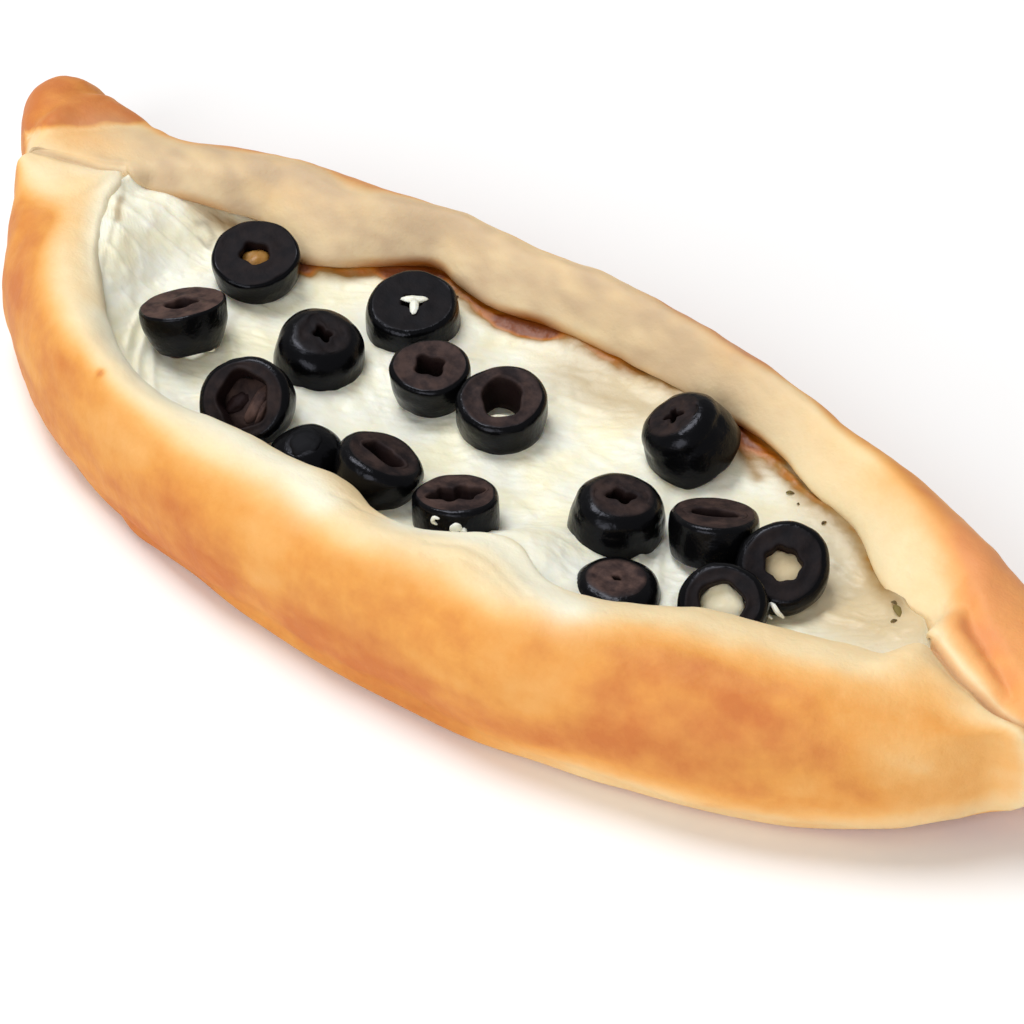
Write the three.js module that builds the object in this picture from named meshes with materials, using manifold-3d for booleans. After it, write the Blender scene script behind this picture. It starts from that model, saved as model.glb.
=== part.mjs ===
// Turkish pide: a boat of bread dough with turned-in walls and pinched ends, filled with
// melted white cheese and topped with slices of black olive.
// Millimetres, +Z up. The boat lies along X, its thicker wall is at -Y, and the origin is
// on the table under the middle of its bounding box.
import * as THREE from "three";
import { mergeVertices } from "three/addons/utils/BufferGeometryUtils.js";
import Module from "manifold-3d";

// ---- driving dimensions ----
const boat = {
  halfLength: 137.5,
  axisY: 11.45, // the line through both tips
  near: { depth: 63, widestX: -15, left: -124.5, right: 127, power: 0.5 },
  far: { depth: 40, widestX: 22, left: -103, right: 138, power: 0.52 },
  nearHeight: 29,
  farHeight: 28,
  floor: 7.5, // thickness of the bread under the filling
};
// The long waves in the tops of the two walls.
const waves = {
  near: { height: 0.7, length: 15, start: 0 },
  far: { height: 0.8, length: 13, start: 1 },
};
// Both walls in section, from the outside of the foot over the top to the inside: the share
// of the wall's width, and the share of its height.
const wallShape = {
  near: [
    [0.08, 0.14],
    [0, 0.4],
    [0.06, 0.7],
    [0.28, 0.94],
    [0.55, 1],
    [0.84, 0.92],
  ],
  far: [
    [0.1, 0.12],
    [0, 0.38],
    [0.02, 0.64],
    [0.16, 0.9],
    [0.45, 1],
    [0.78, 0.88],
  ],
  foot: { share: 0.5, most: 9 }, // how far the flat foot stops short of the outside
};
const tips = {
  left: { near: 7.5, far: 12, top: 29 },
  right: { near: 9, far: 9, top: 26 },
  blend: 5, // how softly a tip runs into the side walls
  round: 14, // length of the rounded end
  farRise: 0.8, // how much higher the far wall ends
  rise: { from: 95, over: 32 }, // where the walls run to the height of the tips
  lift: { height: 7, from: 98, over: 42 }, // where and how far the tips rise off the table
};
const opening = {
  near: { depth: 45.7, widestX: -45, left: -103.5, right: 110, power: 0.92 },
  far: { depth: 27, widestX: 30, left: -107, right: 113, power: 0.95 },
  runOut: 16, // the width at which the trough starts to get shallower
  foldRunOut: 10, // the same for the folds below
};
// Folds of the walls that reach over the filling: where, how wide and how far in.
const farFolds = [
  { at: -57, width: 14, reach: 13 },
  { at: -22, width: 8, reach: 4 },
  { at: 58, width: 9, reach: 2.5 },
];
const nearFolds = [
  { at: -4, width: 9, reach: 2.5 },
  { at: 13, width: 8, reach: -1.5 },
  { at: 32, width: 8, reach: 4.5 },
  { at: 47, width: 8, reach: -2 },
  { at: 80, width: 12, reach: 3 },
];
// The crease where the walls meet past the opening, and how it bends to the near side.
const seam = {
  left: { bend: 16, from: 82, over: 38 },
  right: { bend: 5, from: 100, over: 30 },
  groove: 3.5,
  shallowGroove: 0.8, // over the round knob of the left tip
  knob: { from: 114, over: 8 },
  leastBread: 5, // between the crease and the outside
  halfGap: 0.25,
  bottom: 0.5, // half the height of the slit under the crease
};
const lip = {
  height: 18.5, // underside of the far wall's lip
  thickness: 4,
  farUndercut: 5, // how far the trough runs on under the walls
  nearUndercut: 4.5,
  nearDrop: 7, // from the near wall's top to the edge of its lip
  nearShoulder: 8, // of the trough's deepest corners over its floor
  farShoulder: 4,
};
const bodyStations = 53; // cross-sections between the two rounded ends
const crowding = 0.15; // how much closer they stand near the ends
const tipStations = 6; // cross-sections over each rounded end
const spanSteps = [2, 1]; // points per span of the outline, on even and odd spans

const filling = {
  level: 17,
  swell: 1.1, // height of its soft hills
  calm: 8, // the hills fade out this near the bread
  creep: { height: 1.6, reach: 3 }, // how it climbs where it meets the bread
  from: -102,
  to: 106.5,
  across: 11, // points across its top
  underLip: { height: 16.3, width: 5 }, // how low and how far it runs under the far lip
};
const gap = 0.3; // between pieces that touch
const beddingGap = 0.45; // between the filling and the trough
const olive = { halfLength: 11.5, bevel: 0.5, taper: 2.3, around: 14 };
const spin = 2.4; // how far each slice is turned on from the one before, radians
const herb = { depth: 1.2, width: 0.6, turn: 1.1, sink: 0.45 };
const looks = {
  bread: { color: 0xe2b26c, roughness: 0.75 },
  cheese: { color: 0xefe6c8, roughness: 0.5 },
  olive: { color: 0x1b1716, roughness: 0.35 },
};

// Each slice: the middle of the piece, the width of its olive, the two cuts along the
// olive (0 at its middle), the pit hole at either cut, and its lean off upright.
const slices = [
  { at: [-63.4, 6.9, 21.4], width: 16.8, cuts: [-3.6, 2.2], hole: [3.2, 2.6], lean: 16, toward: -46 },
  { at: [-60.1, -15.1, 21.2], width: 17, cuts: [-8.8, 0.4], hole: [1.8, 3.2], lean: 19, toward: 157 },
  { at: [-36.1, -2.2, 21], width: 17, cuts: [0.5, 9.2], hole: [3, 1.6], lean: 12, toward: 5 },
  { at: [-32.6, -23.6, 22], width: 17.8, cuts: [-2.6, 2.6], hole: [3.4, 3.4], lean: 40, toward: -69 },
  { at: [-16.3, -24.8, 19.6], width: 15.4, cuts: [-1, 7.5], hole: [3, 2.2], lean: 10, toward: -75 },
  { at: [-1.7, -20.5, 21.1], width: 16.8, cuts: [-8, 1], hole: [2.2, 3.3], lean: 21, toward: 71 },
  { at: [15.4, -16.2, 20], width: 16.8, cuts: [-4, 4], hole: [3.2, 3.2], lean: 14, toward: 142 },
  { at: [-31.7, 18.6, 20.2], width: 17.8, cuts: [-1.5, 5.5], hole: [3.2, 2.4], lean: 8, toward: -46 },
  { at: [-14.6, 6.2, 21.2], width: 15.2, cuts: [-6.5, 1.5], hole: [2.4, 2.6], lean: 6, toward: -60 },
  { at: [2.2, 8.5, 20.2], width: 17.2, cuts: [-4.4, 2.6], hole: [3.4, 4.2], lean: 7, toward: -46 },
  { at: [33.4, 27.2, 21.8], width: 18, cuts: [-0.5, 10.3], hole: [3.2, 1.5], lean: 28, toward: -140 },
  { at: [37.6, 2.4, 21], width: 17.2, cuts: [-0.5, 8.2], hole: [3, 2], lean: 8, toward: 54 },
  { at: [51.3, -11.2, 18.2], width: 16.8, cuts: [0, 8], hole: [3, 2], lean: 3, toward: 134 },
  { at: [53.4, 11.6, 21.2], width: 16.6, cuts: [-5, 3.5], hole: [3.2, 3.2], lean: 20, toward: 126 },
  { at: [71.2, 11.8, 22.2], width: 17.2, cuts: [-2.4, 2.4], hole: [3.4, 3.4], lean: 30, toward: -51 },
  { at: [68, -2.8, 21.4], width: 16, cuts: [-2, 2], hole: [4, 4], lean: 32, toward: -60 },
];
// Dried herb flakes on the filling: where and how long.
const flakes = [
  [54.5, 31.2, 1.7],
  [65, 29.6, 1.6],
  [88.5, 24, 2],
  [90.2, 20.6, 1.8],
];

// ---- small helpers ----
const clamp01 = (t) => Math.min(1, Math.max(0, t));
const mix = (a, b, t) => a + (b - a) * t;
const smooth = (t) => clamp01(t) ** 2 * (3 - 2 * clamp01(t));
const smoothMax = (a, b, k) => (a + b + Math.hypot(a - b, k)) / 2;
const past = (x, { from, over }) => smooth((x - from) / over);
const wave = (x, { height, length, start }) => height * Math.sin(x / length + start);
const hump = (x, at, width) => Math.exp(-(((x - at) / width) ** 2));
const reachOf = (folds, x) => folds.reduce((sum, f) => sum + f.reach * hump(x, f.at, f.width), 0);
const range = (count) => Array.from({ length: count }, (_, i) => i);

// Half of a lens: depth at its widest, falling to nothing at its two ends.
function lens({ depth, widestX, left, right, power }, x) {
  const t = x < widestX ? (widestX - x) / (widestX - left) : (x - widestX) / (right - widestX);
  return depth * (1 - clamp01(t) ** 2) ** power;
}

// The measures of the boat's cross-section at x.
function rib(x) {
  const tip = x < 0 ? tips.left : tips.right;
  const toTip = clamp01((boat.halfLength - Math.abs(x)) / tips.round);
  const toEnds = past(Math.abs(x), tips.rise);
  const nearOut = boat.axisY - smoothMax(lens(boat.near, x), tip.near, tips.blend);
  const farOut = boat.axisY + smoothMax(lens(boat.far, x), tip.far, tips.blend);
  const openNear = lens(opening.near, x);
  const openFar = lens(opening.far, x);
  const folded = smooth(openNear / opening.foldRunOut);
  const bend = seam.left.bend * past(-x, seam.left) + seam.right.bend * past(x, seam.right);
  const nearest = Math.max(boat.axisY - bend, nearOut + seam.leastBread);
  const seamY = Math.min(nearest, farOut - seam.leastBread);
  return {
    nearOut,
    farOut,
    nearIn: seamY - Math.max(openNear - folded * reachOf(nearFolds, x), 0) - seam.halfGap,
    farIn: seamY + Math.max(openFar - folded * reachOf(farFolds, x), 0) + seam.halfGap,
    nearTop: mix(boat.nearHeight + wave(x, waves.near), tip.top, toEnds),
    farTop: mix(boat.farHeight + wave(x, waves.far), tip.top + tips.farRise, toEnds),
    low: tips.lift.height * past(Math.abs(x), tips.lift),
    groove: mix(seam.groove, seam.shallowGroove, past(-x, seam.knob)),
    open: smooth((openNear + openFar) / opening.runOut),
    shrink: Math.sqrt(1 - (1 - toTip) ** 2),
  };
}

// The outline of one cross-section, as the points that its smooth curve runs through.
const troughStart = 9; // the outline's points from here to the end lie under the filling
const troughEnd = 12;
function outline(r) {
  const nearWide = r.nearIn - r.nearOut;
  const farWide = r.farOut - r.farIn;
  const foot = Math.min(wallShape.foot.share * Math.min(nearWide, farWide), wallShape.foot.most);
  const near = ([across, up]) => [r.nearOut + across * nearWide, mix(r.low, r.nearTop, up)];
  const far = ([across, up]) => [r.farOut - across * farWide, mix(r.low, r.farTop, up)];
  const crease = Math.min(r.nearTop, r.farTop) - r.groove;
  const floor = mix(crease - 2 * seam.bottom, boat.floor, r.open);
  const lipLow = mix(crease + seam.bottom, lip.height, r.open);
  const under = lip.farUndercut * r.open;
  return [
    [(r.nearOut + r.farOut) / 2, r.low],
    [r.nearOut + foot, r.low],
    ...wallShape.near.map(near),
    [r.nearIn, mix(crease + seam.bottom, r.nearTop - lip.nearDrop, r.open)],
    [r.nearIn - lip.nearUndercut * r.open, floor + mix(seam.bottom, lip.nearShoulder, r.open)],
    [r.nearIn + r.open, floor],
    [r.farIn + (under - 2) * r.open, floor],
    [r.farIn + under, floor + mix(seam.bottom, lip.farShoulder, r.open)],
    [r.farIn + 0.8 * under, lipLow - mix(0.3, 1, r.open)],
    [r.farIn + 0.6 * r.open, lipLow],
    [r.farIn, lipLow + lip.thickness / 2],
    ...wallShape.far.toReversed().map(far),
    [r.farOut - foot, r.low],
  ];
}

// Points along the closed smooth curve through an outline, from one of its points up to
// another, with nothing below the foot.
function smoothCurve(points, low, first = 0, last = points.length) {
  const count = points.length;
  return range(last - first).flatMap((n) => {
    const [p0, p1, p2, p3] = [-1, 0, 1, 2].map((k) => points[(first + n + k + count) % count]);
    const steps = spanSteps[(first + n) % 2];
    return range(steps).map((s) => {
      const t = s / steps;
      const along = (k) => {
        const bow = 2 * p0[k] - 5 * p1[k] + 4 * p2[k] - p3[k];
        const turn = 3 * (p1[k] - p2[k]) + p3[k] - p0[k];
        return p1[k] + 0.5 * t * (p2[k] - p0[k] + t * (bow + t * turn));
      };
      return [along(0), Math.max(along(1), low)];
    });
  });
}

// A closed mesh through loops of equal length, each a list of [x, y, z], with capped ends.
function skin(loops) {
  const around = loops[0].length;
  const position = loops.flat(2);
  const index = [];
  for (let i = 0; i + 1 < loops.length; i++) {
    for (let j = 0; j < around; j++) {
      const a = i * around + j;
      const b = i * around + ((j + 1) % around);
      index.push(a, a + around, b, b, a + around, b + around);
    }
  }
  for (const i of [0, loops.length - 1]) {
    const middle = position.length / 3;
    const sum = loops[i].reduce((s, p) => s.map((v, k) => v + p[k]), [0, 0, 0]);
    position.push(...sum.map((v) => v / around));
    for (let j = 0; j < around; j++) {
      const a = i * around + j;
      const b = i * around + ((j + 1) % around);
      index.push(...(i ? [a, middle, b] : [a, b, middle]));
    }
  }
  const geometry = new THREE.BufferGeometry();
  geometry.setAttribute("position", new THREE.Float32BufferAttribute(position, 3));
  return geometry.setIndex(index);
}

// ---- joining and cutting ----
const wasm = await Module();
wasm.setup();

function toSolid(geometry) {
  const bare = geometry.clone();
  bare.deleteAttribute("normal");
  bare.deleteAttribute("uv");
  const merged = mergeVertices(bare, 1e-4);
  return new wasm.Manifold(
    new wasm.Mesh({
      numProp: 3,
      vertProperties: new Float32Array(merged.attributes.position.array),
      triVerts: new Uint32Array(merged.index.array),
    }),
  );
}

function toGeometry(solid) {
  const mesh = solid.getMesh();
  const geometry = new THREE.BufferGeometry();
  geometry.setAttribute("position", new THREE.BufferAttribute(mesh.vertProperties, 3));
  return geometry.setIndex(new THREE.BufferAttribute(mesh.triVerts, 1));
}

// ---- the bread ----
function doughLoop(x) {
  const r = rib(x);
  const middleY = (r.nearOut + r.farOut) / 2;
  const middleZ = (r.low + r.nearTop) / 2;
  return smoothCurve(outline(r), r.low).map(([y, z]) => [
    x,
    mix(middleY, y, r.shrink),
    mix(middleZ, z, r.shrink),
  ]);
}

// Where the cross-sections stand: along the body, and closer over the rounded ends.
const bodyEnd = boat.halfLength - tips.round;
const overTip = range(tipStations).map((i) => {
  const angle = (Math.PI / 2) * ((i + 1) / tipStations);
  return bodyEnd + tips.round * Math.cos(angle);
});
const alongBody = range(bodyStations).map((i) => {
  const u = (2 * (i + 0.5)) / bodyStations - 1;
  return bodyEnd * ((1 + crowding) * u - crowding * u ** 3);
});
const stationList = [...overTip.map((x) => -x), ...alongBody, ...overTip.toReversed()];
const doughGeometry = skin(stationList.map(doughLoop));

// ---- the filling ----
function fillingTop(x, y, toWall) {
  const hills = Math.sin(x / 9 + y / 14) * Math.cos(y / 8 - x / 23) + 0.5 * Math.sin(x / 5 + 2);
  const climb = filling.creep.height * Math.exp(-toWall / filling.creep.reach);
  return filling.level + filling.swell * hills * smooth(toWall / filling.calm) + climb;
}

// The cross-section of the filling: just inside the trough below, softly uneven on top.
function fillingLoop(x) {
  const r = rib(x);
  const middleY = (r.nearIn + r.farIn) / 2;
  const below = smoothCurve(outline(r), r.low, troughStart, troughEnd + 1).map(([y, z]) => [
    y + Math.sign(middleY - y) * beddingGap,
    z + beddingGap,
  ]);
  const nearY = r.nearIn;
  const farY = r.farIn + 0.8 * lip.farUndercut * r.open - 2 * beddingGap;
  const top = range(filling.across).map((i) => {
    const y = mix(farY, nearY, i / (filling.across - 1));
    const z = fillingTop(x, y, y - nearY);
    return [y, y > farY - filling.underLip.width ? Math.min(z, filling.underLip.height) : z];
  });
  return [...below, ...top].reverse().map(([y, z]) => [x, y, z]);
}

// ---- the olives ----
// A slice of a pitted olive round +Z, its own middle at the origin.
// Grown by a gap, it is the whole plug that makes the slice's bed in the filling.
function sliceGeometry({ width, cuts: [low, high], hole }, grow = 0) {
  const middle = (low + high) / 2;
  const [from, to] = [low - grow, high + grow];
  const skinAt = (s) => {
    const toEnd = Math.min(Math.abs(s) / olive.halfLength, 0.96);
    return (width / 2) * Math.sqrt(1 - toEnd ** olive.taper) + grow;
  };
  const steps = high > 5 || low < -5 ? 5 : 4; // a slice from an olive's end is rounder
  const b = olive.bevel;
  const side = range(steps).map((i) => {
    const s = mix(from + b, to - b, i / (steps - 1));
    return [skinAt(s), s];
  });
  const outside = [[skinAt(from) - b, from], ...side, [skinAt(to) - b, to]];
  const pit = [
    [hole[1] + b, to],
    [hole[1], to - b],
    [hole[0], from + b],
    [hole[0] + b, from],
    outside[0],
  ];
  const profile = (grow ? [[0, from], ...outside, [0, to]] : [...outside, ...pit]).map(
    ([radius, s]) => new THREE.Vector2(radius, s - middle),
  );
  const geometry = new THREE.LatheGeometry(profile, olive.around);
  return geometry.rotateX(Math.PI / 2);
}

function placeSlice(object, { at, lean, toward }, turn) {
  const up = THREE.MathUtils.degToRad(90 - lean);
  const round = THREE.MathUtils.degToRad(toward);
  const flat = Math.cos(up);
  const axis = new THREE.Vector3(flat * Math.cos(round), flat * Math.sin(round), Math.sin(up));
  object.position.set(...at);
  object.quaternion.setFromUnitVectors(new THREE.Vector3(0, 0, 1), axis);
  object.rotateZ(turn);
  object.updateMatrix();
}

// ---- the whole ----
const pide = new THREE.Group();

function addPiece(name, geometry, look) {
  const mesh = new THREE.Mesh(geometry, new THREE.MeshStandardMaterial(look));
  mesh.name = name;
  pide.add(mesh);
  return mesh;
}

addPiece("dough_boat", doughGeometry, looks.bread);

const fillingX = stationList.filter((x) => x > filling.from && x < filling.to);
let cheese = toSolid(skin(fillingX.map(fillingLoop)));

slices.forEach((slice, i) => {
  const name = `olive_${String(i + 1).padStart(2, "0")}`;
  const turn = i * spin;
  placeSlice(addPiece(name, sliceGeometry(slice), looks.olive), slice, turn);
  const pocket = new THREE.Mesh(sliceGeometry(slice, gap));
  placeSlice(pocket, slice, turn);
  cheese = cheese.subtract(toSolid(pocket.geometry.applyMatrix4(pocket.matrix)));
});

flakes.forEach(([x, y, length], i) => {
  const flake = new THREE.OctahedronGeometry(0.5);
  flake.scale(length, herb.width * length, herb.depth);
  flake.rotateZ(i * herb.turn);
  flake.translate(x, y, fillingTop(x, y, filling.calm) - herb.sink);
  cheese = cheese.add(toSolid(flake));
});

addPiece("cheese_filling", toGeometry(cheese), looks.cheese);

export default pide;
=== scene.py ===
import math
import bpy
import numpy as np
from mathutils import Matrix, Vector, noise


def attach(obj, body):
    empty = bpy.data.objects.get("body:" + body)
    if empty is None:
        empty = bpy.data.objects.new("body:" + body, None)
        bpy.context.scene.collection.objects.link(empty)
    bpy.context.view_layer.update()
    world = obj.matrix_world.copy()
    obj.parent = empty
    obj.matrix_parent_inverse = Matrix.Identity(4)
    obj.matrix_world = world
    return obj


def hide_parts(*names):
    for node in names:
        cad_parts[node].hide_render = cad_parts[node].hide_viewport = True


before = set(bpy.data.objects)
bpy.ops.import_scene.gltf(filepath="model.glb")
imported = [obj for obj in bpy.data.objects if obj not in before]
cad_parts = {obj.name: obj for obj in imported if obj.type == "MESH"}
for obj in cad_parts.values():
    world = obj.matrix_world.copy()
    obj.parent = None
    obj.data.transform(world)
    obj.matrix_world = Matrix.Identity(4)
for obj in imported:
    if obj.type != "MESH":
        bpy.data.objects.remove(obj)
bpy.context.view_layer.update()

mm = 0.001  # the food is worked out in millimetres, the studio in metres


def clamp01(t):
    return np.clip(t, 0.0, 1.0)


def mix(a, b, t):
    return a + (b - a) * t


def smooth(t):
    t = clamp01(t)
    return t * t * (3 - 2 * t)


def past(x, start, length):
    return smooth((x - start) / length)


# sum of soft humps along the boat: where, how wide, how high
def folds(x, rows):
    return sum(height * np.exp(-(((x - at) / width) ** 2)) for at, width, height in rows)


# how far a wall stands off the long axis: reach, widest place, left end, right end, power
def lens(x, reach, widest, left, right, power):
    t = np.where(x < widest, (widest - x) / (widest - left), (x - widest) / (right - widest))
    return reach * (1 - clamp01(t) ** 2) ** power


def softMax(a, b, k):
    return (a + b + np.hypot(a - b, k)) / 2


# noise from -1 to 1 for each point; size is one lump, or three sizes for long lumps
def lumps(points, size, seed, octaves=2):
    scaled = points / np.asarray(size) + np.array([seed * 17.3, seed * 5.1, seed * 9.7])
    return np.array([noise.fractal(p, 0.6, 2.0, octaves) for p in scaled.tolist()])


# soft round spots in plan: x, y, radius along x, radius along y, strength
def spots(x, y, rows):
    total = np.zeros_like(x)
    for cx, cy, rx, ry, strength in rows:
        total = total + strength * np.exp(-(((x - cx) / rx) ** 2 + ((y - cy) / ry) ** 2))
    return total


# drawn lines in plan, each with its width and strength, 1 on the line and fading to its sides
def strokes(x, y, rows):
    total = np.zeros_like(x)
    for line, width, strength in rows:
        best = np.full(x.shape, 1e9)
        for (ax, ay), (bx, by) in zip(line, line[1:]):
            dx, dy = bx - ax, by - ay
            t = clamp01(((x - ax) * dx + (y - ay) * dy) / (dx * dx + dy * dy))
            best = np.minimum(best, (x - ax - t * dx) ** 2 + (y - ay - t * dy) ** 2)
        total = total + strength * np.exp(-best / width ** 2)
    return total


# a smooth closed curve through each row of control points
def closedCurve(points, steps):
    p0, p1, p2, p3 = (np.roll(points, -k, axis=1) for k in (-1, 0, 1, 2))
    rows = []
    for step in range(steps):
        t = step / steps
        bow = 2 * p0 - 5 * p1 + 4 * p2 - p3
        turn = 3 * (p1 - p2) + p3 - p0
        rows.append(p1 + 0.5 * t * (p2 - p0 + t * (bow + t * turn)))
    return np.stack(rows, axis=2).reshape(points.shape[0], -1, points.shape[2])


# a closed skin over loops of equal length, each end shut by a fan to its middle
def skinLoops(loops):
    count, around = loops.shape[:2]
    points = np.concatenate([loops.reshape(-1, 3), [loops[0].mean(axis=0), loops[-1].mean(axis=0)]])
    i, j = np.meshgrid(np.arange(count - 1), np.arange(around), indexing="ij")
    a = i * around + j
    b = i * around + (j + 1) % around
    faces = np.stack([a, a + around, b + around, b], axis=-1).reshape(-1, 4).tolist()
    last = (count - 1) * around
    for k in range(around):
        following = (k + 1) % around
        faces.append([k, following, count * around])
        faces.append([last + following, last + k, count * around + 1])
    return points, faces


def pointNormals(points, faces):
    normals = np.zeros_like(points)
    quads = np.array([f if len(f) == 4 else f + [f[-1]] for f in faces])
    cross = np.cross(points[quads[:, 2]] - points[quads[:, 0]], points[quads[:, 3]] - points[quads[:, 1]])
    for k in range(4):
        np.add.at(normals, quads[:, k], cross)
    return normals / (np.linalg.norm(normals, axis=1, keepdims=True) + 1e-9)


def makePiece(name, points, faces, material, nodes, paint):
    mesh = bpy.data.meshes.new(name)
    mesh.from_pydata((np.asarray(points) * mm).tolist(), [], faces)
    mesh.validate()
    mesh.polygons.foreach_set("use_smooth", [True] * len(mesh.polygons))
    for key, values in paint.items():
        layer = mesh.attributes.new(key, "FLOAT", "POINT")
        layer.data.foreach_set("value", np.asarray(values, dtype=np.float32))
    mesh.materials.append(material)
    mesh.update()
    piece = bpy.data.objects.new(name, mesh)
    bpy.context.collection.objects.link(piece)
    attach(piece, "root")
    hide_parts(*nodes)


def newMaterial(name):
    material = bpy.data.materials.new(name)
    material.use_nodes = True
    tree = material.node_tree
    return material, tree, tree.nodes["Principled BSDF"]


def addNode(tree, kind, **settings):
    node = tree.nodes.new(kind)
    for key, value in settings.items():
        setattr(node, key, value)
    return node


# fixed numbers go straight into the shader's own sockets
def setShader(shader, values):
    for name, value in values.items():
        shader.inputs[name].default_value = value


def feed(tree, socket, value):
    if isinstance(value, (int, float)):
        socket.default_value = value
    elif isinstance(value, tuple):
        socket.default_value = (*value, 1.0)
    else:
        tree.links.new(value, socket)


def noiseNode(tree, place, scale, detail=3.0, roughness=0.55):
    node = addNode(tree, "ShaderNodeTexNoise")
    feed(tree, node.inputs["Vector"], place)
    feed(tree, node.inputs["Scale"], scale)
    feed(tree, node.inputs["Detail"], detail)
    feed(tree, node.inputs["Roughness"], roughness)
    return node.outputs["Fac"]


def painted(tree, name):
    return addNode(tree, "ShaderNodeAttribute", attribute_name=name).outputs["Fac"]


def calc(tree, operation, a, b, clamp=False):
    node = addNode(tree, "ShaderNodeMath", operation=operation, use_clamp=clamp)
    feed(tree, node.inputs[0], a)
    feed(tree, node.inputs[1], b)
    return node.outputs[0]


# the speck is taken around its middle, so that it darkens as much as it lightens
def mottle(tree, level, speck, amount):
    return calc(tree, "ADD", level, calc(tree, "MULTIPLY", calc(tree, "SUBTRACT", speck, 0.5), amount), True)


def ramp(tree, level, stops):
    node = addNode(tree, "ShaderNodeValToRGB")
    elements = node.color_ramp.elements
    while len(elements) < len(stops):
        elements.new(0.5)
    for element, (position, colour) in zip(elements, stops):
        element.position = position
        element.color = (*colour, 1.0)
    feed(tree, node.inputs["Fac"], level)
    return node.outputs["Color"]


def mixColour(tree, level, a, b):
    node = addNode(tree, "ShaderNodeMix", data_type="RGBA")
    feed(tree, node.inputs[0], level)
    feed(tree, node.inputs[6], a)
    feed(tree, node.inputs[7], b)
    return node.outputs[2]


def bump(tree, height, distance, strength, onto=None):
    node = addNode(tree, "ShaderNodeBump")
    feed(tree, node.inputs["Strength"], strength)
    feed(tree, node.inputs["Distance"], distance)
    feed(tree, node.inputs["Height"], height)
    if onto is not None:
        feed(tree, node.inputs["Normal"], onto)
    return node.outputs["Normal"]


# colours are written as they look on a screen, 0 to 255
def screen(red, green, blue):
    def linear(v):
        v = v / 255
        return v / 12.92 if v <= 0.04045 else ((v + 0.055) / 1.055) ** 2.4
    return (linear(red), linear(green), linear(blue))


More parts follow.
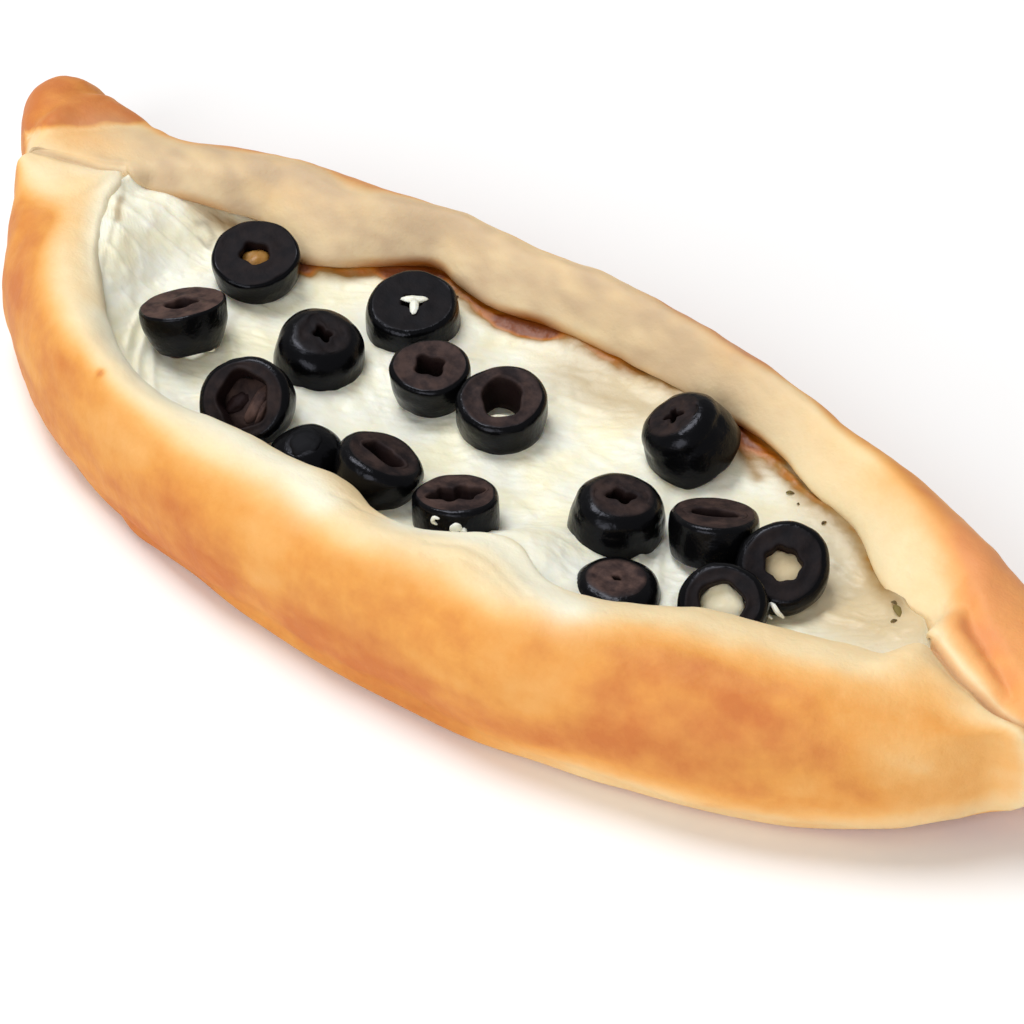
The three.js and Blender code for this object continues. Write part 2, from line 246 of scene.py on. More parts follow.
# the bread: a boat along x with its thick near wall towards -y and the thin far wall towards +y
bread = {
    "halfLength": 137.5, "tipLength": 14, "axisY": 11.45, "floor": 7.5,
    # how far the sides of the walls stand off the axis: reach, widest place, left end, right end, power
    "nearOutside": (63, -15, -124.5, 127, 0.5), "farOutside": (40, 22, -103, 138, 0.52),
    "nearInside": (45.7, -45, -103.5, 110, 0.92), "farInside": (27, 30, -97, 113, 0.95),
    # where the walls meet: x, y, and the gap that each wall leaves there
    "seamGap": 0.25,
    "seam": [(-130, -8), (-116.1, -5.3), (-107, 0), (-103, 2), (-99.2, 5), (-94.2, 6.4), (-86, 8.5),
             (-74, 11.4), (98, 11.45), (105, 10.6), (112, 8.6), (124, 6.6), (138, 6.4)],
    # where the near outside runs at the left tip: x, y
    "leftTip": [(-138, 7), (-133, 4.4), (-128, 1.4), (-124, -1.4), (-121, -4.8), (-117, -9.8),
                (-112, -15.9), (-107, -21.4), (-99, -29)],
    # the left tip and the right one: half widths, height, how blunt
    "tips": {"near": (7.5, 9.0), "far": (12.0, 9.0), "top": (30.0, 26.0), "blunt": (2.7, 2.0)},
    "tipBoxy": 2.4,  # 2 makes the section of the tips an oval, more makes it squarer
    # humps of the walls into the trough: where, how wide, how high
    "nearFolds": [(-24, 15, 4.0), (-4, 9, 4.2), (13, 8, -1.5), (31, 8, 5.5), (47, 8, -2), (68, 8, 4.0),
                  (82, 13, 5.0), (95, 6, 1.8)],
    "farFolds": [(-84, 10, 2.4), (-60, 11, 9.8), (-40, 6, -3), (-22, 8, 2.5), (58, 9, 2.5), (86, 14, 4.5)],
    "shelf": [(36, 20, 1)],  # here the filling lies over the near wall's inner edge
    "nearTop": 29, "farTop": 28, "lipHeight": 18.5, "lipRise": 4.5, "lipThick": 4, "groove": 2.6,
    "stations": 400, "tipStations": 14, "steps": 10,
    # the brown knob ends along a plane through this place, facing this way
    "knobEdge": (-129.6, 4.9, 20), "knobFacing": (-0.514, 0.431, 0.74),
    # creases pressed into the crust: line in plan, width, depth
    "creases": [
        ([(103, 22.5), (108, 18.6), (112, 16.8)], 1.9, 1.7),
        ([(114, 15.8), (118, 13.6), (122, 11)], 1.7, 1.6),
        ([(-68.3, 26.8), (-64.5, 27.6), (-61.2, 28.2)], 0.9, 0.5),
        ([(-66.5, 29.4), (-63.5, 29.8), (-61, 30.4)], 0.8, 0.3),
        ([(24, -33), (29.3, -28.6), (36.3, -28), (46.1, -31)], 1.1, 0.35),
        ([(27, -36), (33, -31.5), (40, -31.5), (47, -34)], 1.1, 0.2),
        ([(2, -35), (5, -33.4), (8, -34), (11, -32.6)], 0.8, 0.35),
    ],
    # darker and paler patches of the crust: x, y, radius along x, radius along y, strength
    "patches": [
        (-108, -11, 5, 7, -0.2), (-99, -19, 8, 9, 0.7), (112, -8, 10, 6, -0.1), (-118, 6, 14, 9, 0.28),
        (-111, 4, 9, 5, 0.13), (-101, -20, 3, 9, -0.2), (-93, -30, 9, 7, 0.12), (-81, -38, 8, 6, -0.06),
        (-63, -43, 12, 7, 0.08), (-35, -42, 22, 6, -0.13), (2, -43, 16, 7, -0.12), (38, -36, 15, 5, -0.16),
        (60, -40, 16, 9, 0.1), (84, -24, 12, 8, 0.12), (104, -6, 7, 7, 0.06), (114, 0, 8, 7, 0.36),
        (75, 38, 8, 5, 0.3), (-76, 22, 12, 7, 0.2), (-85, 31, 11, 6, 0.1), (-50, 42, 10, 4, 0.2),
        (12, 47, 10, 3.5, 0.28), (27, 46, 6, 4, 0.3), (92, 34, 10, 5, 0.15), (110, 18, 5, 2.2, 0.4),
        (118, 13.5, 4, 2, 0.35), (-53.8, -41.9, 0.9, 0.9, 0.6), (31, -25, 12, 6, -0.1),
    ],
    # pale lines where the dough was pinched: line in plan, width, strength
    "pinches": [([(104, 12.8), (109, 11), (116.8, 8.6), (123.8, 7), (128.5, 6.4)], 1.3, 0.9)],
    # how far in over the far wall its toasting reaches, as a share of its width, along x
    "farToast": [(-110, 0.25), (-92, 0.44), (-80, 0.3), (-62, 0.38), (-45, 0.28), (0, 0.28), (13, 0.42),
                 (30, 0.44), (45, 0.34), (60, 0.42), (74, 0.48), (88, 0.54), (98, 0.74), (106, 1.0),
                 (137, 1.2)],
    # cheese smeared over the near rim: line in plan, width, strength
    "smears": [
        ([(-66, -29), (-56, -33.5), (-44, -35), (-32, -35.5), (-20, -35.5), (-8, -35), (2, -38)], 4.2, 0.85),
        ([(16, -30), (23, -26), (30.5, -23), (38, -23), (46, -26), (53, -27)], 4.5, 1.0),
    ],
    # scorched places along the underside of the far lip: x, half length, strength
    "scorch": [(-84, 7, 0.35), (-60, 4, 0.7), (-43, 7, 1.2), (-26, 6, 0.6), (-14, 6, 1.1), (4, 8, 0.3),
               (38, 7, 0.75), (49, 5, 0.2)],
    "pale": screen(247, 226, 182), "cream": screen(245, 211, 156), "golden": screen(241, 183, 109),
    "amber": screen(229, 158, 76), "toasted": screen(205, 120, 56), "scorched": screen(146, 84, 22),
    # the greyish beige is painted shade, on the far roll and in the crease
    "blush": screen(246, 170, 112), "shadeBeige": screen(204, 177, 142), "film": screen(255, 249, 224),
}


# the measures of the bread's section at each place along the boat
def rib(x):
    b = bread
    left = x < 0
    away = np.abs(x)
    tip = {key: np.where(left, *pair) for key, pair in b["tips"].items()}
    toTip = clamp01((b["halfLength"] - away) / b["tipLength"])
    toEnds = past(away, 95, 32)  # from the walls' height to that of the tips
    nearOut = b["axisY"] - softMax(lens(x, *b["nearOutside"]), tip["near"], 5)
    nearOut = mix(nearOut, np.interp(x, *zip(*b["leftTip"])), past(-x, 99, 8))
    farOut = b["axisY"] + softMax(lens(x, *b["farOutside"]), tip["far"], 5)
    openNear = lens(x, *b["nearInside"])
    openFar = lens(x, *b["farInside"])
    closing = 1 - 0.8 * past(x, 96, 10)  # the trough closes towards the right tip
    folded = smooth(openNear / 10)
    openNear = closing * np.maximum(openNear - folded * folds(x, b["nearFolds"]), 0)
    openFar = closing * np.maximum(openFar - folded * folds(x, b["farFolds"]), 0)
    least = mix(5, 1.5, past(-x, 108, 12))  # the seam stays this far in from the near outside
    seamY = np.interp(x, *zip(*b["seam"]))
    seamY = np.minimum(np.maximum(seamY, nearOut + least), farOut - 5)
    gap = b["seamGap"]
    nearIn = np.minimum(b["axisY"] - openNear, seamY) - gap
    farIn = seamY + openFar + gap
    opened = smooth((farIn - nearIn - 2 * gap) / 11)  # 0 where the walls meet, 1 over the open trough
    eggTop = mix(b["nearTop"] + 0.7 * np.sin(x / 15), tip["top"], toEnds)
    nearTop = np.where(left, mix(20, eggTop, smooth((seamY - nearOut) / 6.5)), eggTop)
    farTop = mix(b["farTop"] + 0.8 * np.sin(x / 13 + 1), tip["top"] + 0.8, toEnds)
    groove = mix(b["groove"], 1.2, past(-x, 60, 20)) * (1 - 0.85 * past(-x, 104, 16))
    crease = np.minimum(nearTop, farTop) - groove
    soft = past(-x, 55, 35)  # the near wall slopes gently into the filling at the left
    shelf = folds(x, b["shelf"])
    leftRoll = past(-x, 66, 26)
    return {
        "left": left, "nearOut": nearOut, "farOut": farOut,
        "nearIn": nearIn, "farIn": farIn,
        "nearTop": nearTop, "farTop": farTop, "eggTop": eggTop, "crease": crease, "open": opened,
        "soft": soft, "shelf": shelf, "leftRoll": leftRoll, "deep": np.minimum(1, groove / 1.2),
        "lipLow": mix(crease + 0.5, b["lipHeight"] + b["lipRise"] * leftRoll, opened),
        "nearEdge": mix(crease + 0.6, nearTop - mix(7, 2.8, np.maximum(soft, 0.45 * shelf)), opened),
        "low": 7 * past(away, 98, 42),
        "fused": np.where(left, past(-x, 119.5, 7), past(x, 129, 6)),
        "shrink": (1 - (1 - toTip) ** tip["blunt"]) ** (1 / tip["blunt"]),
    }


# the corners of a wall's section: share of its width from the outside, share of its height
nearShape = [(0.08, 0.14), (0, 0.4), (0.06, 0.7), (0.28, 0.94), (0.55, 1), (0.84, 0.92)]
farShape = [(0.78, 0.88), (0.45, 1), (0.16, 0.9), (0.02, 0.64), (0, 0.38), (0.1, 0.12)]
# the corners of the crease where the walls meet: across, up
creaseShape = [(-1.6, 0.9), (-1, 0.55), (-0.5, 0.2), (-0.1, 0), (0.1, 0.1), (0.4, 0.5), (1, 1), (2, 1.4)]
# where the corners of the section go on the plain egg of the left tip and of the right one
leftAngles = [270, 248, 228, 214, 204, 197, 192, 189, 187, 186, 185, 184, 183, 182, 180, 176,
              146, 116, 88, 58, 26, -10, -50]
rightAngles = [270, 235, 212, 192, 172, 155, 142, 131, 126, 124, 122, 120, 118, 116, 114, 112,
               100, 80, 58, 32, 5, -22, -52]


def breadOutline(r):
    b = bread
    nearWide = r["nearIn"] - r["nearOut"]
    farWide = r["farOut"] - r["farIn"]
    foot = np.minimum(0.5 * np.minimum(nearWide, farWide), 9)
    under = 5  # how far the hollow runs in under the far lip
    shut = 1 - r["open"]
    rows = [((r["nearOut"] + r["farOut"]) / 2, r["low"]), (r["nearOut"] + foot, r["low"])]
    firm = np.maximum(shut, 0.7 * r["soft"])
    rows += [(r["nearOut"] + a * nearWide, mix(r["low"], r["nearTop"], u + 0.08 * firm * (a > 0.7)))
             for a, u in nearShape]
    hollow = [
        (r["nearIn"], r["nearEdge"]), (r["nearIn"] + mix(-4.5, 3.5, r["soft"]), b["floor"] + 8),
        (r["nearIn"] + mix(1, 5, r["soft"]), b["floor"]), (r["farIn"] + under - 2, b["floor"]),
        (r["farIn"] + under, b["floor"] + 4), (r["farIn"] + 0.8 * under, r["lipLow"] - 1),
        (r["farIn"] + 0.6, r["lipLow"]), (r["farIn"], r["lipLow"] + b["lipThick"] / 2),
    ]
    # where the walls meet only a shallow crease is left between them
    seam = (r["nearIn"] + r["farIn"]) / 2
    narrow = np.minimum(1, 0.08 * nearWide)
    for (dy, dz), (y, z) in zip(creaseShape, hollow):
        y = mix(seam + dy * narrow, y, r["open"])
        rows.append((y, mix(r["crease"] + dz * r["deep"], z, r["open"])))
    plump = np.maximum(shut, r["leftRoll"])
    rows += [(r["farOut"] - a * farWide, mix(r["low"], r["farTop"], u + 0.12 * plump * (a > 0.7)))
             for a, u in farShape]
    rows.append((r["farOut"] - foot, r["low"]))
    middleY, middleZ = (r["nearOut"] + r["farOut"]) / 2, (r["low"] + r["eggTop"]) / 2
    halfWide, halfHigh = (r["farOut"] - r["nearOut"]) / 2, (r["eggTop"] - r["low"]) / 2
    boxy = b["tipBoxy"]
    for k, (left, right) in enumerate(zip(leftAngles, rightAngles)):
        angle = np.radians(np.where(r["left"], left, right))
        c, s = np.cos(angle), np.sin(angle)
        reach = (np.abs(c) ** boxy + np.abs(s) ** boxy) ** (-1 / boxy)
        y, z = rows[k]
        rows[k] = (mix(y, middleY + halfWide * reach * c, r["fused"]),
                   mix(z, middleZ + halfHigh * reach * s, r["fused"]))
    return np.stack([np.stack([y, z], axis=-1) for y, z in rows], axis=1)


def breadStations():
    bodyEnd = bread["halfLength"] - bread["tipLength"]
    u = (np.arange(bread["stations"]) + 0.5) * 2 / bread["stations"] - 1
    body = bodyEnd * (1.15 * u - 0.15 * u ** 3)
    angles = (np.arange(bread["tipStations"]) + 1) / (bread["tipStations"] + 0.25) * math.pi / 2
    over = bodyEnd + bread["tipLength"] * np.sin(angles)
    return np.concatenate([-over[::-1], body, over])


def breadLoops(x):
    r = rib(x)
    loops = closedCurve(breadOutline(r), bread["steps"])
    loops[:, :, 1] = np.maximum(loops[:, :, 1], r["low"][:, None])
    middleY = ((r["nearOut"] + r["farOut"]) / 2)[:, None]
    middleZ = ((r["low"] + r["eggTop"]) / 2)[:, None]
    y = mix(middleY, loops[:, :, 0], r["shrink"][:, None])
    z = mix(middleZ, loops[:, :, 1], r["shrink"][:, None])
    return np.stack([np.broadcast_to(x[:, None], y.shape), y, z], axis=-1), r


# where a point of the bread lies in its own wall
def placeInWall(p, r):
    x, y, z = p.T
    middle = (r["nearIn"] + r["farIn"]) / 2
    near = y < middle
    top = np.where(near, r["nearTop"], r["farTop"])
    fromOut = np.where(near, y - r["nearOut"], r["farOut"] - y)
    wide = np.where(near, r["nearIn"] - r["nearOut"], r["farOut"] - r["farIn"])
    across = clamp01(fromOut / np.maximum(wide, 4))
    nearSide = clamp01((middle - y) / 3 + 0.5)
    atLip = smooth((across - 0.93) / 0.07) * smooth((r["lipLow"] + 3 - z) / 2.5)
    # painted shade: a soft dark line along the closed crease
    seamShade = np.exp(-((y - middle) / 1.1) ** 2) * (1 - r["open"]) * (1 - r["fused"])
    return {
        "nearSide": nearSide, "across": across, "lipEdge": atLip * (1 - nearSide) * r["open"],
        "high": clamp01((z - r["low"]) / (top - r["low"])),
        "knob": (p - np.array(bread["knobEdge"])) @ np.array(bread["knobFacing"]),
        "crease": seamShade * smooth((z - 19) / 4),
    }


def breadRelief(p, normals, w):
    x, y, z = p.T
    offBase = smooth((z - 1) / 4)
    onTop = smooth((normals[:, 2] - 0.1) / 0.3) * smooth((z - 18) / 3)
    swell = 0.7 * lumps(p, 26, 1, 1) + 0.28 * lumps(p, 9, 2, 2) + 0.05 * lumps(p, 3, 3, 2)
    pressed = strokes(x, y, bread["creases"]) * onTop
    knobFold = 0.6 * np.exp(-((w["knob"] + 0.6) / 1.2) ** 2) * past(-x, 102, 8) * smooth((z - 21) / 5)
    return p + normals * (swell * offBase - pressed - knobFold)[:, None]


# how toasted each point is, 0 pale to 1 brown; it also carries painted shade in the crease at the right,
# under the far lip and along the base
def breadToast(p, r, w):
    x, y, z = p.T
    across, high = w["across"], w["high"]
    nearEdge = 0.6 + 0.14 * past(x, 30, 40)
    nearToast = 0.72 * smooth((nearEdge - across) / 0.42)
    nearToast = nearToast + 0.24 * smooth((0.55 - high) / 0.3) * (1 - past(x, 40, 30))
    nearToast = nearToast * (1 - 0.75 * past(x, 25, 60) * smooth((0.44 - high) / 0.3))
    nearToast = nearToast * (1 - 0.4 * past(x, 108, 18)) + 0.1
    farEdge = np.interp(x, *zip(*bread["farToast"]))
    blur = mix(0.2, 0.42, past(x, 50, 30))
    farToast = 0.66 * smooth((farEdge + blur / 3 - across) / blur) + 0.16 * smooth((1.1 - across) / 0.6)
    toast = mix(farToast, nearToast, w["nearSide"])
    toast = toast + spots(x, y, bread["patches"]) * smooth((z - 4) / 4)
    toast = toast * (1 - clamp01(strokes(x, y, bread["pinches"])) * smooth((z - 15) / 4))
    toast = np.minimum(toast, mix(1, 0.88, w["nearSide"]))
    fade = 1.8 + 6 * smooth((21 - z) / 8)  # the knob's colour ends softly lower down
    knob = past(w["knob"] + 0.5 * lumps(p, 5, 7, 2), -fade / 2, fade) * past(-x, 102, 8)
    # at the right the crease is painted darker too, as shade in its groove
    toast = np.maximum(toast, np.maximum(knob, 0.85 * w["crease"] * past(x, 60, 40)))
    scorch = folds(x, bread["scorch"])
    # the far lip's lower edge is browner: toasted and scorched in places, and partly painted shade under the
    # lip
    toast = np.maximum(toast, w["lipEdge"] * (mix(0.45, 0.25, past(x, 40, 20)) + scorch))
    toast = np.maximum(toast, 0.72 * smooth((0.66 - high) / 0.3) * past(-x, 104, 14))  # below the knob
    # darker at the very base: the baked underside, and painted shade where it sits on the table
    toast = np.maximum(toast, smooth((2.6 - (z - r["low"])) / 2.6))
    return clamp01(toast + 0.15 * lumps(p, (26, 16, 12), 5, 3) * smooth(toast * 3))


# painted shade: greyish beige over the far roll's inner face, mostly on its left half, and along the crease
def breadShadeBeige(p, w):
    x = p[:, 0]
    uneven = clamp01(0.8 + 0.5 * lumps(p, (16, 8, 8), 8, 3))
    roll = (1 - w["nearSide"]) * past(-x, -70, 60) * smooth((w["across"] - 0.15) / 0.3)
    return np.maximum(uneven * roll * past(x, -124, 32), 0.75 * w["crease"])


# cheese smeared thinly over the crust
def breadFilm(p, r, w):
    x, y, z = p.T
    over = 0.92 * clamp01(strokes(x, y, bread["smears"]) * 1.15) * smooth((z - 22) / 3)
    inner = 0.7 * r["soft"] * smooth((w["across"] - 0.7) / 0.28) * w["nearSide"] * past(x, -112, 14)
    return np.maximum(over, inner)


def crustMaterial():
    b = bread
    material, tree, shader = newMaterial("bakedCrust")
    place = addNode(tree, "ShaderNodeTexCoord").outputs["Object"]
    patches = noiseNode(tree, place, 55, 4.0, 0.6)
    freckles = noiseNode(tree, place, 330, 4.0, 0.65)
    toast = mottle(tree, mottle(tree, painted(tree, "toast"), patches, 0.3), freckles, 0.16)
    colour = ramp(tree, toast, [
        (0.0, b["pale"]), (0.25, b["cream"]), (0.58, b["golden"]), (0.8, b["amber"]), (1.0, b["toasted"]),
    ])
    blush = calc(tree, "MULTIPLY", painted(tree, "blush"), toast)
    colour = mixColour(tree, blush, colour, b["blush"])
    # painted shade: greyish beige over the far roll and along the crease
    colour = mixColour(tree, painted(tree, "shadeBeige"), colour, b["shadeBeige"])
    burn = calc(tree, "MULTIPLY", painted(tree, "burn"), calc(tree, "ADD", 0.5, patches), True)
    colour = mixColour(tree, burn, colour, b["scorched"])
    colour = mixColour(tree, painted(tree, "film"), colour, b["film"])
    feed(tree, shader.inputs["Base Color"], colour)
    setShader(shader, {
        "Roughness": 0.6, "Specular IOR Level": 0.35, "Subsurface Weight": 0.15,
        "Subsurface Radius": (1.0, 0.55, 0.3), "Subsurface Scale": 0.004,
    })
    skin = bump(tree, noiseNode(tree, place, 1000, 3.0, 0.6), 0.00016, 0.55)
    skin = bump(tree, noiseNode(tree, place, 260, 4.0, 0.55), 0.0006, 0.5, skin)
    feed(tree, shader.inputs["Normal"], skin)
    return material


print("bread: shaping the boat")
loops, stationRibs = breadLoops(breadStations())
breadPoints, breadFaces = skinLoops(loops)
ribs = {
    key: np.concatenate([np.repeat(values, loops.shape[1]), values[[0, -1]]])
    for key, values in stationRibs.items()
}
wall = placeInWall(breadPoints, ribs)
breadPoints = breadRelief(breadPoints, pointNormals(breadPoints, breadFaces), wall)
farHalf = 1 - wall["nearSide"]
makePiece("breadBoat", breadPoints, breadFaces, crustMaterial(), ["dough_boat"], {
    "toast": breadToast(breadPoints, ribs, wall),
    "blush": 0.6 * past(breadPoints[:, 0], 60, 40) * farHalf,
    # painted shade on the far roll and in the crease
    "shadeBeige": breadShadeBeige(breadPoints, wall),
    "burn": clamp01(wall["lipEdge"] * folds(breadPoints[:, 0], bread["scorch"])),
    "film": breadFilm(breadPoints, ribs, wall),
})
print("bread: done,", len(breadPoints), "points")


# the olives: pitted black olives cut across, each slice leaning its own way
olives = {
    "halfLength": 11.5, "taper": 2.3, "edge": 0.6, "around": 72,
    # middle, width, the two cuts, the hole's radius at either cut, lean off upright and its direction
    "slices": [
        ((-63.8, 7.3, 21.6), 17.2, (-4.2, 2.6), (3.2, 2.6), 16, -46),
        ((-60.1, -15.1, 21.2), 16.8, (-8.8, 0.4), (1.8, 2.7), 19, 157),
        ((-36, -2.1, 21), 18, (-1.6, 7.6), (3, 1.6), 12, 5),
        ((-33.7, -23.5, 22), 17.8, (-3, 3), (4.6, 5.2), 40, -69),
        ((-16.4, -24.9, 19.6), 14.8, (-1.5, 7.6), (1, 0.3), 10, -75),
        ((-2.4, -20, 21.1), 17, (-8, 1), (2.0, 2.8), 21, 71),
        ((15, -16.6, 20), 16.3, (-4, 4), (3.2, 3.5), 14, 142),
        ((-31.4, 18.5, 20.2), 18.6, (-2, 5.5), (2.4, 1.8), 8, -46),
        ((-14, 6, 21.2), 15.2, (-6.5, 1.5), (2.4, 2.6), 6, -60),
        ((2, 9, 20.6), 17.6, (-5.4, 3.2), (3.8, 4.2), 7, -46),
        ((32.7, 26.9, 21.9), 18.2, (-1.4, 9.7), (3.2, 1.5), 28, -140),
        ((37.7, 2.5, 21.1), 17.6, (-1.6, 7.6), (3, 2), 8, 54),
        ((50.6, -11.8, 19), 16.8, (-0.8, 7.2), (3, 0.7), 3, 134),
        ((53.8, 10.9, 20.8), 16.6, (-5, 3.5), (3.2, 2.6), 20, 126),
        ((69.8, 11.6, 22.2), 17.2, (-2.6, 2.6), (3.2, 3.2), 30, -51),
        ((68, -2.8, 21.4), 16, (-2.2, 2.2), (4, 4), 32, -60),
    ],
    # how round its shoulder is and how pale its cut, then the hole: points, their depth, stretch,
    # turn and how boxy it is
    "cuts": [
        (0.9, 0.1, 5, 0.08, 1.1, 20, 0.4), (0.6, 1.0, 4, 0.12, 1.15, 66, 0.5),
        (4.4, 0.1, 4, 0.22, 1.3, 1, 0.3), (1.6, 0.2, 5, 0.06, 1.15, -40, 0.0),
        (5.6, 0.0, 4, 0.0, 1.3, 40, 0.0), (2.2, 0.35, 4, 0.06, 1.5, -2, 0.9),
        (1.2, 0.6, 6, 0.16, 1.6, 55, 0.3), (1.4, 0.04, 5, 0.1, 1.1, 30, 0.4),
        (1.1, 0.5, 4, 0.12, 1.1, 20, 0.7), (1.5, 0.45, 5, 0.04, 1.28, -46, 0.15),
        (3.6, 0.25, 4, 0.35, 1.3, 0, 0.0), (3.2, 0.35, 4, 0.2, 1.3, 30, 0.5),
        (3.8, 0.8, 4, 0.1, 1.3, 0, 0.0), (1.2, 0.5, 4, 0.1, 1.8, 37, 0.3),
        (2.0, 0.1, 7, 0.06, 1.08, 0, 0.1), (1.8, 0.1, 5, 0.05, 1.1, 0, 0.0),
    ],
    # loose flesh seen in the holes: slice, place in its own frame, three radii, turn, cut, and hole, the
    # painted shade of the hole's walls
    "cores": [
        (1, (-0.4, -0.4, -1.4), (3.4, 3.4, 1.2), 0, 0.1, 0.2),
        (4, (0, 0, -1.9), (5.6, 5.6, 1.6), 0, 0.45, 0.2),
        (4, (1.6, 1.2, -0.9), (1.5, 4.2, 1.5), 8, 1.0, 0.0),
        (4, (3.3, 0.6, -0.9), (0.7, 3.4, 1.2), 14, 0.8, 0.0),
        (4, (-1.7, -1.2, -0.7), (1.6, 2.7, 1.0), -12, 0.0, 1.0),
        (5, (0.2, 0.2, 4.1), (3.2, 3.2, 0.9), 0, 0, 0),
    ],
    "skin": screen(7, 7, 8), "dark": screen(50, 36, 34), "flesh": screen(88, 67, 60),
    # the walls of the holes are painted darker, as shade inside them
    "pit": screen(30, 16, 14),
}


# the outline turned round the olive's axis: radius, place along the axis, 0 skin / 1 cut / 2 hole
def oliveProfile(width, low, high, hole, shoulder):
    b = olives["edge"]
    lip = 0.5  # rounding of the hole's edge

    def skinAt(s):
        toEnd = np.minimum(np.abs(s) / olives["halfLength"], 0.97)
        return width / 2 * np.sqrt(1 - toEnd ** olives["taper"])

    corner = np.linspace(0, math.pi / 2, 6)[1:]
    start = high - shoulder
    rows = [(skinAt(s), s, 0.0) for s in np.linspace(low + b, start, 16)]
    rows += [(skinAt(start) - shoulder * (1 - math.cos(a)), start + shoulder * math.sin(a),
              smooth((a - 1.2) / 0.35)) for a in np.linspace(0, math.pi / 2, 11)[1:]]
    outer = rows[-1][0]
    rows += [(mix(outer, hole[1] + lip, t), high - 0.15 * math.sin(math.pi * t), 1.0)
             for t in np.linspace(0, 1, 10)[1:]]
    rows += [(hole[1] + lip * (1 - math.sin(a)), high - lip * (1 - math.cos(a)), 1.0 + 0.3 * a)
             for a in corner]
    rows += [(mix(hole[1], hole[0], t), mix(high - 0.6, low + 0.6, t), 2.0)
             for t in np.linspace(0, 1, 8)[1:-1]]
    rows += [(hole[0] + lip * (1 - math.cos(a)), low + lip * (1 - math.sin(a)), 1.0) for a in corner]
    outer = skinAt(low + b) - b
    rows += [(mix(hole[0] + lip, outer, t), low + 0.25 * math.sin(math.pi * t), 1.0)
             for t in np.linspace(0, 1, 8)[1:]]
    rows += [(outer + b * math.sin(a), low + b * (1 - math.cos(a)), 1 - smooth(a / 1.2 - 0.1))
             for a in corner[:-1]]
    return np.array(rows, dtype=float)


def oliveAxis(lean, toward):
    up, bearing = math.radians(90 - lean), math.radians(toward)
    return Vector((math.cos(up) * math.cos(bearing), math.cos(up) * math.sin(bearing), math.sin(up)))


def turnedTo(axis):
    return np.array(Vector((0, 0, 1)).rotation_difference(axis).to_matrix())


def oliveSlice(index):
    at, width, (low, high), hole, lean, toward = olives["slices"][index]
    shoulder, pale, points, depth, stretch, turn, boxy = olives["cuts"][index]
    rows = oliveProfile(width, low, high, hole, shoulder)
    around = olives["around"]
    angle = np.arange(around) * 2 * math.pi / around
    radius = np.repeat(rows[:, :1], around, axis=1)
    height = np.repeat(rows[:, 1:2] - (low + high) / 2, around, axis=1)
    part = np.repeat(rows[:, 2:], around, axis=1)
    a = angle[None, :] - math.radians(turn)
    inHole = smooth((max(hole) + 2.4 - radius) / 2.4) * (part >= 1)
    oval = 1 + (stretch - 1) * (np.cos(a) ** 2 - 0.45)
    box = ((np.abs(np.cos(a)) / stretch) ** 6 + (np.abs(np.sin(a)) * math.sqrt(stretch)) ** 6) ** (-1 / 6)
    holeShape = mix(oval, 0.95 * box, boxy) * (1 + depth * np.cos(points * a + index))
    skinShape = 1 + 0.022 * np.sin(2 * a + index * 1.7) + 0.014 * np.sin(3 * a + index * 2.9)
    radius = radius * mix(skinShape, holeShape, inHole)
    p = np.stack([radius * np.cos(angle), radius * np.sin(angle), height], axis=-1).reshape(-1, 3)
    part = part.reshape(-1)
    out = p * np.array([1, 1, 0.4])
    out = out / (np.linalg.norm(out, axis=1, keepdims=True) + 1e-6)
    p = p + out * (0.22 * lumps(p + index * 40, 5, 3, 2) * (part < 1))[:, None]
    p[:, 2] += 0.2 * lumps(p + index * 40, 4, 4, 2) * (part >= 0.5)
    n = len(rows)
    i, j = np.meshgrid(np.arange(n), np.arange(around), indexing="ij")
    k, row, following = (j + 1) % around, i * around, (i + 1) % n * around
    faces = np.stack([row + j, row + k, following + k, following + j], axis=-1)
    p = p @ turnedTo(oliveAxis(lean, toward)).T + np.array(at)
    # the hole mask paints shade down the hole's walls
    return p, faces.reshape(-1, 4).tolist(), {
        "cut": smooth(part) * pale, "hole": clamp01(part - 1), "matt": smooth(part),
    }


def oliveMaterial():
    o = olives
    material, tree, shader = newMaterial("oliveSkinAndFlesh")
    place = addNode(tree, "ShaderNodeTexCoord").outputs["Object"]
    grain = noiseNode(tree, place, 1100, 3.0, 0.6)
    patches = noiseNode(tree, place, 300, 4.0, 0.6)
    flesh = ramp(tree, patches, [(0.35, o["dark"]), (0.62, o["flesh"])])
    level = calc(tree, "MULTIPLY", painted(tree, "cut"), calc(tree, "ADD", 0.5, patches), True)
    colour = mixColour(tree, level, o["skin"], flesh)
    # painted shade inside the holes
    colour = mixColour(tree, painted(tree, "hole"), colour, o["pit"])
    feed(tree, shader.inputs["Base Color"], colour)
    feed(tree, shader.inputs["Roughness"],
         calc(tree, "ADD", 0.22, calc(tree, "MULTIPLY", painted(tree, "matt"), 0.45)))
    setShader(shader, {
        "Specular IOR Level": 0.17, "Specular Tint": (0.84, 0.86, 1.0, 1.0),
    })
    skin = bump(tree, grain, 0.00014, 0.5)
    feed(tree, shader.inputs["Normal"], bump(tree, patches, 0.0005, 0.4, skin))
    return material


print("olives: slicing")
oliveLook = oliveMaterial()
for index in range(len(olives["slices"])):
    number = f"{index + 1:02d}"
    points, faces, paint = oliveSlice(index)
    makePiece("oliveSlice" + number, points, faces, oliveLook, ["olive_" + number], paint)
print("olives: done,", len(olives["slices"]), "slices")


